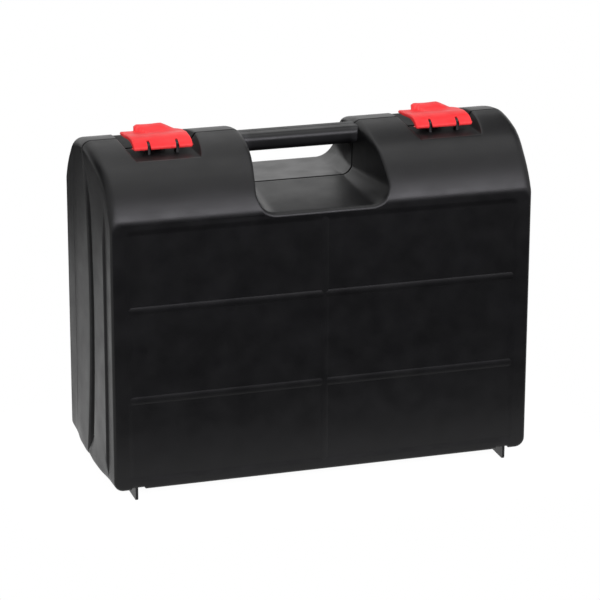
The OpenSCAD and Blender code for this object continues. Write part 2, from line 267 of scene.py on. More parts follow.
# %% The opening's part of the outline
floor_count, foot_count, cheek_count, lip_count = 8, 12, 6, 9
lip_narrows = 50.0


def opening_part(t, s):
    """Half the floor of the hand opening, the rounded foot, the cheek and the lip."""
    top, out = top_at(t, s), s + edge_in(t, floor_edge_r, s)
    low = floor_z - (floor_z - floor_face_z) * t / half_d - out
    cheek = opening_w / 2 + opening_flare * (t / half_d) ** flare_bend + out
    r = floor_r + (floor_face_r - floor_r) * t / half_d + out
    lip = max(lip_r + (lip_face_r - lip_r) * min(1.0, t / lip_narrows) - s, 0.5)
    turn = acos(1 - min(1.0, (top - low) / (r + lip)))
    straight = max(0.0, top - low - r - lip)
    foot = cheek - r
    bends = [turn * i / foot_count for i in range(foot_count + 1)]
    start = (foot + r * sin(turn), low + r * (1 - cos(turn)))
    end = (start[0] + straight * cos(turn), start[1] + straight * sin(turn))
    middle = (end[0] + lip * sin(turn), end[1] - lip * cos(turn))
    return ([(foot * i / floor_count, low) for i in range(floor_count)]
            + [(foot + r * sin(a), low + r * (1 - cos(a))) for a in bends]
            + between(start, end, cheek_count)
            + [(middle[0] - lip * sin(a), middle[1] + lip * cos(a))
               for a in np.linspace(turn, 0, lip_count)])


print("points from the floor's middle to the lip:", len(opening_part(0, 0)))

# %% The recess's and the side's parts of the outline
recess_fade, recess_bend = 0.12, 1.1


def recess_part(t, s):
    """Across a latch recess, or straight on over the same points where there is none."""
    top = top_at(t, s)
    raw = top - (recess_z - s)
    deep = 0.5 * (raw + sqrt(raw * raw + recess_fade))
    near = recess_w / 2 + s
    wide = near + recess_lip + recess_slope * deep
    legs = [(latch_x - wide - 8, top), (latch_x - wide, top), (latch_x - near, top - deep),
            (latch_x + near, top - deep), (latch_x + wide, top), (latch_x + wide + 4, top)]
    bends = [corner(legs[i - 1], legs[i], legs[i + 1], recess_bend, 4) for i in (1, 2, 3, 4)]
    return (bends[0] + between(bends[0][-1], bends[1][0], 3) + bends[1]
            + between(bends[1][-1], bends[2][0], 9) + bends[2]
            + between(bends[2][-1], bends[3][0], 3) + bends[3])


side_count, side_top_fade, side_low_fade = 38, 0.2, 0.05


def side_part(t, s, side):
    """Round the upper corner, down the side and round the lower corner."""
    x, r, top, low = side_at(t, s), corner_r - s, top_at(t, s), bottom_at(t, s)
    run, deep = top - low - 2 * r, channel(t, s, side)
    stepped = band_in(t, s, side) - band_soft_in(t, s)
    arc = np.linspace(0, pi / 2, 10)
    middle = []
    for u in np.linspace(0, 1, side_count)[1:-1]:
        bow = bow_at(t) * (1 - (2 * u - 1) ** 2)
        ends = ease(u / side_top_fade) * ease((1 - u) / side_low_fade)
        middle.append((x - bow - (deep + stepped) * ends, top - r - run * u))
    return ([(x - r + r * sin(a), top - r + r * cos(a)) for a in arc] + middle
            + [(x - r + r * cos(a), low + r - r * sin(a)) for a in arc])


print("points across a recess:", len(recess_part(0, 0)), "and down a side:", len(side_part(0, 0, 1)))


# %% The whole outline
def outline(t, s, side=1):
    """Closed ring: the right half, then its mirror image back to the start."""
    t_skin = max(0.0, t)
    opening, recess, flank = opening_part(t_skin, s), recess_part(t_skin, s), side_part(t_skin, s, side)
    low = bottom_at(t_skin, s)
    right = (opening + between(opening[-1], recess[0], 9) + recess
             + between(recess[-1], flank[0], 4) + flank
             + [(x, bottom_at(t_skin, s, sunk)) for x, sunk in foot_room]
             + between((foot_room[-1][0], low), (0.0, low), 14))
    middle = [opening[0], (0.0, low)]
    return [middle[0]] + right[1:] + [middle[1]] + [(-x, z) for x, z in right[:0:-1]]


ring_size = len(outline(0, 0))
print("points round each section:", ring_size)

# %% [markdown]
# ## Rows of the loft
# Evenly spaced rows would either be coarse or far too many. So the rows are close
# together only where the surface turns: over the rounded edge at the face, at the
# step in the side wall, where the latch recess runs out and along the parting line,
# whose two rims are rounded over. Then the loft turns in over the rim, where a
# tongue on the front half stands in a rebate of the rear half, and comes back along
# the inside of the wall.

# %% Rows, as distance from the parting plane and depth in the wall
face_rows = [half_d - edge_r * (1 - sin(radians(a)))
             for a in (90, 83, 76, 69, 62, 55, 48, 40, 32, 24, 16, 8, 0)]
body_rows = [82.5, 79.5, 76.5, 73, 69.5, 66.5, 61.5, 59, 56.5, recess_end, 51.6, 50.3, 49, 48.2,
             46.6, 45, 43, 40, 37, 34, 31, 28, 25, 22, 19, 16.5, 14.2, 12.4, 10.5, 8.4, 6.4, 4.8, 3.6]
band_rows = {-1: [band_front + d for d in (1, 0.5, 0.3, 0.1, -0.1, -0.3, -0.5, -1)],
             1: [band_rear + d for d in (1.3, 0.9, 0.6, 0.3, 0, -0.3, -0.6, -0.9, -1.3)]}
groove_rows = [(2.7, 0.0), (2.1, 0.03), (1.6, 0.12), (1.2, 0.3), (0.85, 0.6), (0.5, 0.85),
               (gap / 2, groove_in)]
inner_ts = [3, 7, 12, 18, 24, 30, 36, 42, 46, 50, 55, 62, 70, 76, 80, 82.5, 84, 84.8]


def rim_rows(side):
    """Over the rim: a tongue on the front half, a rebate for it on the rear half."""
    if side < 0:
        return [(gap / 2, tongue_in), (-tongue_long, tongue_in), (-tongue_long, wall), (0, wall)]
    return [(gap / 2, rebate_in), (tongue_long + gap, rebate_in), (tongue_long + gap, wall)]


def shell_rows(side):
    """All rows of a shell, from the face over the rim and back along the inside."""
    first_inner = 1 if side > 0 else 0
    edge = band_rows[side]
    plain = [t for t in body_rows if t < half_d - edge_r - 0.4
             and not min(edge) - 0.3 < t < max(edge) + 0.3]
    return ([(t, 0.0) for t in face_rows + sorted(plain + edge, reverse=True)] + groove_rows
            + rim_rows(side) + [(t, wall) for t in inner_ts[first_inner:]])


print("rows of the front shell:", len(shell_rows(-1)))

# %% [markdown]
# ## Faces with a sunk field
# Each face closes its shell. It is flat, with a wide field sunk 0.7 mm into it, and
# the edge of the field is a soft slope. The flat part is the ring between the loft's
# last row and the field, which Blender fills with triangles. A thin extra row just
# inside the rounded edge keeps the shading of the flat part flat.

# %% Rings of the field and of the face's edge
def rounded_rect(half, low, high, r):
    """Closed ring in X and Z, anticlockwise, with eight steps in each corner."""
    ring = []
    for cx, cz, start in ((half - r, high - r, 0), (-half + r, high - r, 90),
                          (-half + r, low + r, 180), (half - r, low + r, 270)):
        for i in range(9):
            a = radians(start + 90 * i / 8)
            ring.append((cx + r * cos(a), cz + r * sin(a)))
    return ring


def moved_in(ring, by):
    """A ring drawn in towards its inside by a small distance."""
    points = np.array(ring)
    run = np.roll(points, -1, 0) - np.roll(points, 1, 0)
    run /= np.maximum(np.hypot(run[:, 0], run[:, 1])[:, None], 1e-9)
    area = np.sum(points[:, 0] * np.roll(points[:, 1], -1) - points[:, 1] * np.roll(points[:, 0], -1))
    turn = np.array([[0, 1], [-1, 0]]) if area > 0 else np.array([[0, -1], [1, 0]])
    return [tuple(p) for p in points + by * run @ turn]


support_in, field_slope, field_rings = 0.35, 6.0, 8
field_half = half_w - field_side
field_steps = [(field_slope * i / field_rings, field_deep * ease(i / field_rings))
               for i in range(field_rings + 1)]
print(f"the field is {2 * field_half:.0f} mm wide and {field_z1 - field_z0:.1f} mm high")


# %% Points and faces of a shell
def shell_skin(side):
    """Points, faces, and the two loops between which the flat part is still open."""
    rows = shell_rows(side)
    points = [(x, side * t, z) for t, s in rows for x, z in outline(t, s, side)]
    faces = strips(len(rows), ring_size)
    inner = (len(rows) - 1) * ring_size
    faces.append([inner + i for i in range(ring_size)])

    support = len(points)
    points += [(x, side * half_d, z) for x, z in moved_in(outline(half_d, 0), support_in)]
    faces += [(support + i, i, (i + 1) % ring_size, support + (i + 1) % ring_size)
              for i in range(ring_size)]

    field = len(points)
    for inset, deep in field_steps:
        ring = rounded_rect(field_half - inset, field_z0 + inset, field_z1 - inset, field_r - inset)
        points += [(x, side * (half_d - deep), z) for x, z in ring]
    n = len(ring)
    faces += [tuple(field + i for i in f) for f in strips(len(field_steps), n)]
    last = field + (len(field_steps) - 1) * n
    faces.append([last + i for i in range(n)])
    return points, faces, [list(range(support, support + ring_size)), list(range(field, field + n))]


def open_edge_count(mesh):
    """How many edges don't have exactly two faces."""
    uses = {}
    for polygon in mesh.polygons:
        for key in polygon.edge_keys:
            uses[key] = uses.get(key, 0) + 1
    return sum(1 for count in uses.values() if count != 2)


print("inset and depth of the field's last ring:", field_steps[-1])


# %% The two shells
def build_shell(name, side):
    """Makes a shell's mesh, and fills the flat part between its two open loops."""
    points, faces, loops = shell_skin(side)
    bm = bmesh.new()
    verts = [bm.verts.new([c / 1000 for c in p]) for p in points]
    for f in faces:
        bm.faces.new([verts[i] for i in f])
    edges = [bm.edges.get((verts[a], verts[b])) for loop in loops
             for a, b in zip(loop, loop[1:] + loop[:1])]
    bmesh.ops.triangle_fill(bm, use_beauty=True, edges=edges)
    bmesh.ops.recalc_face_normals(bm, faces=bm.faces[:])
    mesh = bpy.data.meshes.new(name)
    bm.to_mesh(mesh)
    bm.free()
    outward(mesh)
    smoothed(mesh, 34)
    print(name, len(mesh.polygons), "faces,", open_edge_count(mesh), "edges not closed")
    return placed(name, mesh)


front_case = build_shell("case_front", -1)
rear_case = build_shell("case_rear", 1)

# %% [markdown]
# ## Repeated fittings with Geometry Nodes
# Feet, hinge knuckles, latch lugs and catch ridges come in mirrored places, all set
# out along X. One node tree copies any small piece: an inner line of points spreads
# it about a middle, and an outer line puts that group on both sides of the case.
# Copying by hand would do as well, but the tree names the sizes that matter, and a
# change of one input moves every copy.

# %% Helpers for node trees
def wired(tree, *pairs):
    """Links pairs of an output and an input."""
    for a, b in pairs:
        tree.links.new(a, b)


def new_tree(name, inputs):
    """A tree with named inputs, and its group's input and output nodes."""
    tree = bpy.data.node_groups.new(name, "GeometryNodeTree")
    for label, kind, value in inputs:
        socket = tree.interface.new_socket(name=label, in_out="INPUT", socket_type=kind)
        if value is not None:
            socket.default_value = value
    tree.interface.new_socket(name="Geometry", in_out="OUTPUT", socket_type="NodeSocketGeometry")
    return tree, tree.nodes.new("NodeGroupInput"), tree.nodes.new("NodeGroupOutput")


def line_of_points(tree, source, label, count):
    """A mesh line from -label to +label along X."""
    minus = tree.nodes.new("ShaderNodeMath")
    minus.operation = "MULTIPLY"
    minus.inputs[1].default_value = -1
    ends = [tree.nodes.new("ShaderNodeCombineXYZ") for _ in range(2)]
    line = tree.nodes.new("GeometryNodeMeshLine")
    line.mode = "END_POINTS"
    wired(tree, (source.outputs[label], minus.inputs[0]), (minus.outputs[0], ends[0].inputs["X"]),
          (source.outputs[label], ends[1].inputs["X"]),
          (ends[0].outputs[0], line.inputs["Start Location"]),
          (ends[1].outputs[0], line.inputs["Offset"]))
    if isinstance(count, int):
        line.inputs["Count"].default_value = count
    else:
        tree.links.new(source.outputs[count], line.inputs["Count"])
    return line


# %% A node tree that sets out copies on both sides
copies, given, result = new_tree("copies_on_both_sides", [
    ("Piece", "NodeSocketObject", None), ("Middle", "NodeSocketFloat", 0.1),
    ("Spread", "NodeSocketFloat", 0.0), ("Count", "NodeSocketInt", 1),
    ("Material", "NodeSocketMaterial", None)])
info = copies.nodes.new("GeometryNodeObjectInfo")
group_line = line_of_points(copies, given, "Spread", "Count")
pair_line = line_of_points(copies, given, "Middle", 2)
group, pair = (copies.nodes.new("GeometryNodeInstanceOnPoints") for _ in range(2))
realize = copies.nodes.new("GeometryNodeRealizeInstances")
paint = copies.nodes.new("GeometryNodeSetMaterial")
wired(copies, (given.outputs["Piece"], info.inputs["Object"]),
      (group_line.outputs[0], group.inputs["Points"]),
      (info.outputs["Geometry"], group.inputs["Instance"]),
      (pair_line.outputs[0], pair.inputs["Points"]), (group.outputs[0], pair.inputs["Instance"]),
      (pair.outputs[0], realize.inputs[0]), (realize.outputs[0], paint.inputs["Geometry"]),
      (given.outputs["Material"], paint.inputs["Material"]), (paint.outputs[0], result.inputs[0]))
print("nodes in the copying tree:", len(copies.nodes))


# %% Turning a modifier's result into a plain mesh
def settled(piece):
    """Takes the result of a piece's modifiers as its mesh, and removes the modifiers."""
    depsgraph = bpy.context.evaluated_depsgraph_get()
    mesh = bpy.data.meshes.new_from_object(piece.evaluated_get(depsgraph), depsgraph=depsgraph)
    piece.modifiers.clear()
    piece.data = mesh
    return piece


def grown(name, tree, values):
    """Runs a tree on an empty mesh object and keeps the result as a plain mesh."""
    host = placed(name, bpy.data.meshes.new(name))
    modifier = host.modifiers.new("grow", "NODES")
    modifier.node_group = tree
    for item in tree.interface.items_tree:
        if item.in_out == "INPUT" and item.name in values:
            modifier[item.identifier] = values[item.name]
    settled(host).data.name = name
    print(name, len(host.data.polygons), "faces")
    return host


def copied(name, piece, middle, spread=0.0, count=1, material=None):
    """Copies of a piece on both sides, `middle` from the centre, as one mesh."""
    made = grown(name, copies, {"Piece": piece, "Middle": middle / 1000,
                                "Spread": spread / 1000, "Count": count, "Material": material})
    bpy.data.objects.remove(piece)
    return made


# %% [markdown]
# ## Materials
# The shells are black polypropylene from a spark-eroded mould: a very fine grain,
# satin, a little rougher in some places than in others, with edges rubbed slightly
# paler. The skin of the hand opening, which a sliding core formed, came out smoother.
# The latch recesses get painted shade: a darker copy of the same plastic, with a
# third of its reflection and more roughness. What differs along one piece is kept on
# the mesh as two attributes, `rub` and `smooth`, which the shader reads. The latches
# are a red plastic, the pins drawn steel. A picture could be wrapped round each piece
# instead, but patterns on Object coordinates need no unwrapping and stay put on the piece.

# %% Helpers for materials
def material_with(name, settings):
    """A material whose main shader has the given settings."""
    material = bpy.data.materials.new(name)
    material.use_nodes = True
    tree = material.node_tree
    shader = tree.nodes["Principled BSDF"]
    for label, value in settings.items():
        shader.inputs[label].default_value = value
    return material, tree, shader


def noise(tree, scale, detail=3.0, stretch=None):
    """A noise fixed to the piece, at `scale` per metre."""
    coordinates = tree.nodes.new("ShaderNodeTexCoord")
    texture = tree.nodes.new("ShaderNodeTexNoise")
    texture.inputs["Scale"].default_value = scale
    texture.inputs["Detail"].default_value = detail
    source = coordinates.outputs["Object"]
    if stretch:
        mapping = tree.nodes.new("ShaderNodeMapping")
        mapping.inputs["Scale"].default_value = stretch
        tree.links.new(source, mapping.inputs["Vector"])
        source = mapping.outputs[0]
    tree.links.new(source, texture.inputs["Vector"])
    return texture.outputs[0]


def ranged(tree, source, low, high, start=0.3, end=0.7):
    """Goes from `low` to `high` as the source goes from `start` to `end`."""
    node = tree.nodes.new("ShaderNodeMapRange")
    for label, value in (("From Min", start), ("From Max", end), ("To Min", low), ("To Max", high)):
        node.inputs[label].default_value = value
    tree.links.new(source, node.inputs["Value"])
    return node.outputs[0]


def math_node(tree, operation, a, b):
    node = tree.nodes.new("ShaderNodeMath")
    node.operation = operation
    for socket, value in zip(node.inputs, (a, b)):
        if isinstance(value, (int, float)):
            socket.default_value = value
        else:
            tree.links.new(value, socket)
    return node.outputs[0]


# %% Helpers for colours and bumps
def mixed(tree, factor, a, b):
    """Goes from colour a to colour b as the factor goes from 0 to 1."""
    node = tree.nodes.new("ShaderNodeMix")
    node.data_type = "RGBA"
    tree.links.new(factor, node.inputs["Factor"])
    for label, colour in (("A", a), ("B", b)):
        socket = [s for s in node.inputs if s.name == label and s.type == "RGBA"][0]
        if isinstance(colour, tuple):
            socket.default_value = (*colour, 1)
        else:
            tree.links.new(colour, socket)
    return [s for s in node.outputs if s.type == "RGBA"][0]


def attribute(tree, name):
    node = tree.nodes.new("ShaderNodeAttribute")
    node.attribute_name = name
    return node.outputs["Fac"]


def bumped(tree, shader, height, distance, strength):
    """Lets the light see a grain, `distance` metres high."""
    node = tree.nodes.new("ShaderNodeBump")
    node.inputs["Distance"].default_value = distance
    if isinstance(strength, float):
        node.inputs["Strength"].default_value = strength
    else:
        tree.links.new(strength, node.inputs["Strength"])
    tree.links.new(height, node.inputs["Height"])
    tree.links.new(node.outputs[0], shader.inputs["Normal"])


# %% Black shell plastic
def black_plastic(name, specular, satin, matt):
    """Grained black plastic, with roughness between `satin` and `matt`."""
    material, tree, shader = material_with(name, {"Specular IOR Level": specular})
    rub, sleek = attribute(tree, "rub"), attribute(tree, "smooth")
    deep_black = mixed(tree, ranged(tree, noise(tree, 28, 4), 0, 1), (0.0020, 0.0020, 0.0022),
                       (0.0036, 0.0036, 0.0040))
    rubbed = math_node(tree, "MULTIPLY", rub, ranged(tree, noise(tree, 160, 5), 0.1, 0.8))
    colour = mixed(tree, rubbed, deep_black, (0.045, 0.045, 0.048))
    tree.links.new(colour, shader.inputs["Base Color"])
    rough = math_node(tree, "SUBTRACT", ranged(tree, noise(tree, 45, 5), satin, matt),
                      math_node(tree, "MULTIPLY", sleek, 0.07))
    tree.links.new(rough, shader.inputs["Roughness"])
    grain = math_node(tree, "ADD", noise(tree, 1500, 2), noise(tree, 520, 2))
    bumped(tree, shader, grain, 0.00006,
           math_node(tree, "SUBTRACT", 0.55, math_node(tree, "MULTIPLY", sleek, 0.35)))
    return material


shell_plastic = black_plastic("shell_plastic", 0.27, 0.37, 0.45)
# Painted shade: a darker copy of the shell plastic, with a third of its reflection, for the insides of
# the latch recesses.
recess_shade_plastic = black_plastic("recess_shade_plastic", 0.09, 0.44, 0.54)
print("nodes in the shell plastic:", len(shell_plastic.node_tree.nodes))

# %% Red latch plastic
latch_plastic, tree, shader = material_with("latch_plastic", {"Specular IOR Level": 0.12})
flow = noise(tree, 60, 3, (1, 2.5, 1))
red = mixed(tree, ranged(tree, flow, 0, 1), (0.78, 0.026, 0.030), (0.88, 0.038, 0.042))
scuffs = ranged(tree, noise(tree, 300, 4), 0.1, 0.7)
rubbed = math_node(tree, "MULTIPLY", attribute(tree, "rub"), scuffs)
tree.links.new(mixed(tree, rubbed, red, (0.95, 0.22, 0.20)), shader.inputs["Base Color"])
tree.links.new(ranged(tree, noise(tree, 90, 5), 0.36, 0.46), shader.inputs["Roughness"])
bumped(tree, shader, noise(tree, 700, 3), 0.00003, 0.4)
print("nodes in the latch plastic:", len(tree.nodes))

# %% Steel of the pins
pin_steel, tree, shader = material_with("pin_steel", {"Metallic": 1.0})
drawn = noise(tree, 900, 4, (0.03, 1, 1))
tree.links.new(mixed(tree, ranged(tree, drawn, 0, 1), (0.50, 0.50, 0.51), (0.66, 0.66, 0.67)),
               shader.inputs["Base Color"])
tree.links.new(ranged(tree, drawn, 0.26, 0.42), shader.inputs["Roughness"])
bumped(tree, shader, drawn, 0.00002, 0.4)
print("materials:", [m.name for m in (shell_plastic, latch_plastic, pin_steel)])


# %% Attributes for rubbed edges and smooth skins
rub_gain, rub_from = 1.6, 0.18


def mark(piece, zones=()):
    """`rub` grows where the surface bulges, and `smooth` is 1 inside the given boxes."""
    mesh = piece.data
    bm = bmesh.new()
    bm.from_mesh(mesh)
    rubs = np.zeros(len(bm.verts))
    for v in bm.verts:
        if not v.link_edges:
            continue
        bulge = [(e.other_vert(v).co - v.co).normalized().dot(v.normal) for e in v.link_edges]
        rubs[v.index] = min(1.0, max(0.0, -min(bulge) * rub_gain - rub_from))
    bm.free()
    sleeks = np.zeros(len(mesh.vertices))
    for v in mesh.vertices:
        x, y, z = (c * 1000 for c in v.co)
        if any(a <= abs(x) <= b and c <= abs(y) <= d and e <= z <= f
               for a, b, c, d, e, f in zones):
            sleeks[v.index] = 1
    for name, values in (("rub", rubs), ("smooth", sleeks)):
        layer = mesh.attributes.new(name, "FLOAT", "POINT")
        layer.data.foreach_set("value", values.astype(np.float32))
    return piece


def dress(piece, body, material):
    """Gives a piece its material and lets it ride on a body of the frame."""
    piece.data.materials.clear()
    piece.data.materials.append(material)
    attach(piece, body)
    print(piece.name, "rides on", body)
    return piece


# %% [markdown]
# ## Dress the shells
# The two shells take the place of the CAD ones, which stay in the simulation. The
# faces inside the recesses are found by their place, and get the darker second
# material, which paints shade into them.

# %% Shells in place
sleek_zones = [(0, 57, 0, 84, 255, 300)]


def shade_recesses(shell):
    """Paints shade into both latch recesses: their faces get the darker copy of the plastic."""
    shell.data.materials.append(recess_shade_plastic)
    inside = 0
    for polygon in shell.data.polygons:
        x, y, z = (1000 * c for c in polygon.center)
        near = abs(abs(x) - latch_x) < recess_w / 2 + recess_lip + recess_slope * recess_deep
        if near and abs(y) < recess_end and recess_z - 0.5 < z < top_at(abs(y), 0) - 0.7:
            polygon.material_index = 1
            inside += 1
    print(shell.name, "has", inside, "faces in its recesses")


for shell, node, body in ((front_case, "front_shell", "front_half"),
                          (rear_case, "rear_shell", "rear_half")):
    mark(shell, sleek_zones)
    dress(shell, body, shell_plastic)
    shade_recesses(shell)
    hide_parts(node)
print("shells stand for front_shell and rear_shell")

# %% [markdown]
# ## Ribs on the faces
# One upright and two level ribs divide each field. They are low swells, less than
# half a millimetre high, moulded in one with the face. They could be part of the
# loft, but that would need rows and columns along every rib. The tree sweeps one
# small section along three straight curves, whose ends run under the soft edge of
# the field.

# %% A node tree for the ribs
ribs, given, result = new_tree("ribs_of_a_field", [
    ("Half width", "NodeSocketFloat", 0.186), ("Low", "NodeSocketFloat", 0.02),
    ("High", "NodeSocketFloat", 0.25), ("Lower rib", "NodeSocketFloat", 0.1),
    ("Upper rib", "NodeSocketFloat", 0.18), ("Face", "NodeSocketFloat", -0.088),
    ("Section", "NodeSocketObject", None), ("Material", "NodeSocketMaterial", None)])
print("inputs of the rib tree:", [item.name for item in ribs.interface.items_tree
                                  if item.in_out == "INPUT"])


def curve_line(x_socket, z0, z1, mirrored):
    """A straight curve on the face, between two places named by sockets of the tree."""
    ends = []
    for k, z in enumerate((z0, z1)):
        end = ribs.nodes.new("ShaderNodeCombineXYZ")
        if mirrored:
            turn = ribs.nodes.new("ShaderNodeMath")
            turn.operation = "MULTIPLY"
            turn.inputs[1].default_value = -1 if k == 0 else 1
            wired(ribs, (given.outputs[x_socket], turn.inputs[0]), (turn.outputs[0], end.inputs["X"]))
        wired(ribs, (given.outputs["Face"], end.inputs["Y"]), (given.outputs[z], end.inputs["Z"]))
        ends.append(end)
    line = ribs.nodes.new("GeometryNodeCurvePrimitiveLine")
    wired(ribs, (ends[0].outputs[0], line.inputs["Start"]), (ends[1].outputs[0], line.inputs["End"]))
    return line


# %% Sweeping the section along the ribs
join = ribs.nodes.new("GeometryNodeJoinGeometry")
for line in (curve_line("Half width", "Lower rib", "Lower rib", True),
             curve_line("Half width", "Upper rib", "Upper rib", True),
             curve_line("Half width", "Low", "High", False)):
    ribs.links.new(line.outputs[0], join.inputs[0])
normal = ribs.nodes.new("GeometryNodeSetCurveNormal")
normal.mode = "FREE"
normal.inputs["Normal"].default_value = (0, 1, 0)
section_info = ribs.nodes.new("GeometryNodeObjectInfo")
section_curve = ribs.nodes.new("GeometryNodeMeshToCurve")
sweep = ribs.nodes.new("GeometryNodeCurveToMesh")
sweep.inputs["Fill Caps"].default_value = True
rib_realize = ribs.nodes.new("GeometryNodeRealizeInstances")
rib_paint = ribs.nodes.new("GeometryNodeSetMaterial")
wired(ribs, (join.outputs[0], normal.inputs[0]), (normal.outputs[0], sweep.inputs["Curve"]),
      (given.outputs["Section"], section_info.inputs["Object"]),
      (section_info.outputs["Geometry"], section_curve.inputs[0]),
      (section_curve.outputs[0], sweep.inputs["Profile Curve"]),
      (sweep.outputs[0], rib_realize.inputs[0]), (rib_realize.outputs[0], rib_paint.inputs[0]),
      (given.outputs["Material"], rib_paint.inputs["Material"]),
      (rib_paint.outputs[0], result.inputs[0]))
print("nodes in the rib tree:", len(ribs.nodes))

# %% Ribs on both faces
rib_sunk, rib_inset = 0.3, 1.2


def rib_section(side):
    """A low swell, drawn about the middle of its foot, which is sunk into the field."""
    half = rib_w / 2
    swell = [(half * u, rib_high * (1 - u * u)) for u in np.linspace(-1, 1, 13)]
    shape = [(-half, -rib_sunk)] + swell + [(half, -rib_sunk)]
    mesh = bpy.data.meshes.new("rib_section")
    n = len(shape)
    mesh.from_pydata([(side * z / 1000, x / 1000, 0) for x, z in shape],
                     [(i, (i + 1) % n) for i in range(n)], [])
    return placed("rib_section", mesh)


rib_heights = [field_z0 + (field_z1 - field_z0) * share for share in rib_shares]
for side, body in ((-1, "front_half"), (1, "rear_half")):
    section = rib_section(side)
    made = grown("ribs_front" if side < 0 else "ribs_rear", ribs, {
        "Half width": (field_half - rib_inset) / 1000, "Low": (field_z0 + rib_inset) / 1000,
        "High": (field_z1 - rib_inset) / 1000, "Lower rib": rib_heights[0] / 1000,
        "Upper rib": rib_heights[1] / 1000, "Face": side * (half_d - field_deep) / 1000,
        "Section": section, "Material": shell_plastic})
    bpy.data.objects.remove(section)
    each_outward(made)
    smoothed(made.data, 50)
    dress(made, body, shell_plastic)

# %% [markdown]
# ## Helpers for small fittings
# Fins, lugs, knuckles and hooks are flat profiles with some thickness along X, or
# short rods with a bore. A plain box would look sharp and made of paper, so each
# gets a narrow bevel, as every moulded edge has.

# %% Profiles along X and bored rods
def prism(profile, x0, x1):
    """Points and faces of a profile, drawn in Y and Z, that runs from x0 to x1."""
    n = len(profile)
    points = [(x0, y, z) for y, z in profile] + [(x1, y, z) for y, z in profile]
    faces = [(i, (i + 1) % n, n + (i + 1) % n, n + i) for i in range(n)]
    return points, faces + [tuple(range(n))[::-1], tuple(range(n, 2 * n))]


def bored(x0, x1, y, z, r, bore, steps=40):
    """A rod along X with a hole through it."""
    turn = [2 * pi * i / steps for i in range(steps)]
    points = [(x, y + q * cos(a), z + q * sin(a))
              for x, q in ((x0, bore), (x0, r), (x1, r), (x1, bore)) for a in turn]
    faces = [(k * steps + i, k * steps + j, (k + 1) % 4 * steps + j, (k + 1) % 4 * steps + i)
             for k in range(4) for i, j in zip(range(steps), list(range(1, steps)) + [0])]
    return points, faces


def gather(*solids):
    """Points and faces of several solids as one."""
    points, faces = [], []
    for more_points, more_faces in solids:
        faces += [tuple(len(points) + i for i in f) for f in more_faces]
        points += more_points
    return points, faces


def bevelled(piece, width, segments=2, angle=30):
    """Rounds the edges of a piece for good, and leaves no modifier on it."""
    bevel = piece.modifiers.new("edges", "BEVEL")
    bevel.width, bevel.segments = width / 1000, segments
    bevel.limit_method, bevel.angle_limit = "ANGLE", radians(angle)
    return settled(piece)


print("a bored rod has", len(bored(0, 1, 0, 0, 2, 1)[1]), "faces")

# %% [markdown]
# ## Feet
# Four thin fins carry the case. Each is nearly flush with a face and slopes up to
# the shell at its inner end. The rear pair stands 4 mm further in, so that the fins
# pass one another when the case is open. A fin could be a block with edges pulled
# about, but a profile keeps the slope and the rounded toe to their sizes.

# %% Feet
foot_t, foot_long, foot_x, foot_pass, foot_setback = 2.5, 30.0, 182.0, 4.0, 1.0
foot_slope, foot_toe_r, foot_root = 12.0, 2.2, 1.5


def foot_profile(side):
    """A fin in Y and Z: rounded at its toe, sloped at its inner end, rooted in the shell."""
    tip, low, root = half_d - foot_setback, foot_long + foot_slope, shell_z + foot_root
    toe = [(tip - foot_toe_r * (1 - sin(a)), foot_toe_r * (1 - cos(a)))
           for a in np.linspace(pi / 2, 0, 6)]
    slope = [(tip - foot_long, 0), (tip - low, shell_z), (tip - low, root)]
    top = [(half_d - toe_r, root), (half_d - 1.6, shell_z + toe_r + 0.5),
           (tip, shell_z + toe_r + 0.5)]
    return [(side * y, z) for y, z in top + toe + slope]


for side, body, middle in ((-1, "front_half", foot_x - foot_t / 2),
                           (1, "rear_half", foot_x - foot_pass - foot_t / 2)):
    fin = to_object("fin", *prism(foot_profile(side), -foot_t / 2, foot_t / 2))
    feet = copied("feet_front" if side < 0 else "feet_rear", bevelled(fin, 0.5), middle,
                  material=shell_plastic)
    dress(mark(feet), body, shell_plastic)

# %% [markdown]
# ## Hinge knuckles
# Each hinge has one wide knuckle on the front shell between two narrow ones on the
# rear shell. An arm with a sloped web ties every knuckle to the bottom of its shell.
# A hole could be cut by a boolean. Four rings of points give a bored barrel at once.

# %% Knuckles
hinge_z, knuckle_r, hinge_pin_r, hinge_x = 5.7, 5.0, 2.0, 110.0
knuckle_long, knuckle_side, knuckle_gap, arm_long = 28.0, 15.0, 0.4, 12.0
pin_clearance = 0.06


def knuckle(side, long):
    """A bored barrel on the hinge's axis, with the arm that ties it to its shell."""
    arm = [(arm_long, shell_z + 1.6), (2, shell_z + 1.6), (1, shell_z - 3), (1.4, hinge_z + 3.9),
           (3.9, hinge_z + 2.6), (knuckle_r * 0.97, hinge_z - 0.8),
           (knuckle_r * 0.86, hinge_z - knuckle_r * 0.45), (arm_long, shell_z)]
    web = prism([(side * y, z) for y, z in arm], -long / 2, long / 2)
    barrel = bored(-long / 2, long / 2, 0, hinge_z, knuckle_r, hinge_pin_r + pin_clearance)
    return bevelled(each_outward(to_object("knuckle", *gather(web, barrel))), 0.3)


side_step = knuckle_long / 2 + knuckle_gap + knuckle_side / 2
for name, body, piece, spread, count in (
        ("knuckles_front", "front_half", knuckle(-1, knuckle_long), 0, 1),
        ("knuckles_rear", "rear_half", knuckle(1, knuckle_side), side_step, 2)):
    made = copied(name, piece, hinge_x, spread, count, shell_plastic)
    dress(mark(made), body, shell_plastic)

# %% [markdown]
# ## Latch lugs and catch ridges
# Two lugs in each front recess hold a latch's pin and show in its slots. A ridge in
# each rear recess is what the hook of the latch snaps behind. They are profiles too,
# and reach a little into the floor of the recess, so that no gap shows at the root.

# %% Lugs
latch_w, pivot_y, pivot_z, lug_t, lug_r = 55.6, 23.0, case_h - 2.5, 2.6, 2.8
slot_x, root_z, lug_waist_z = 0.24 * latch_w, recess_z - 1.4, 317.0

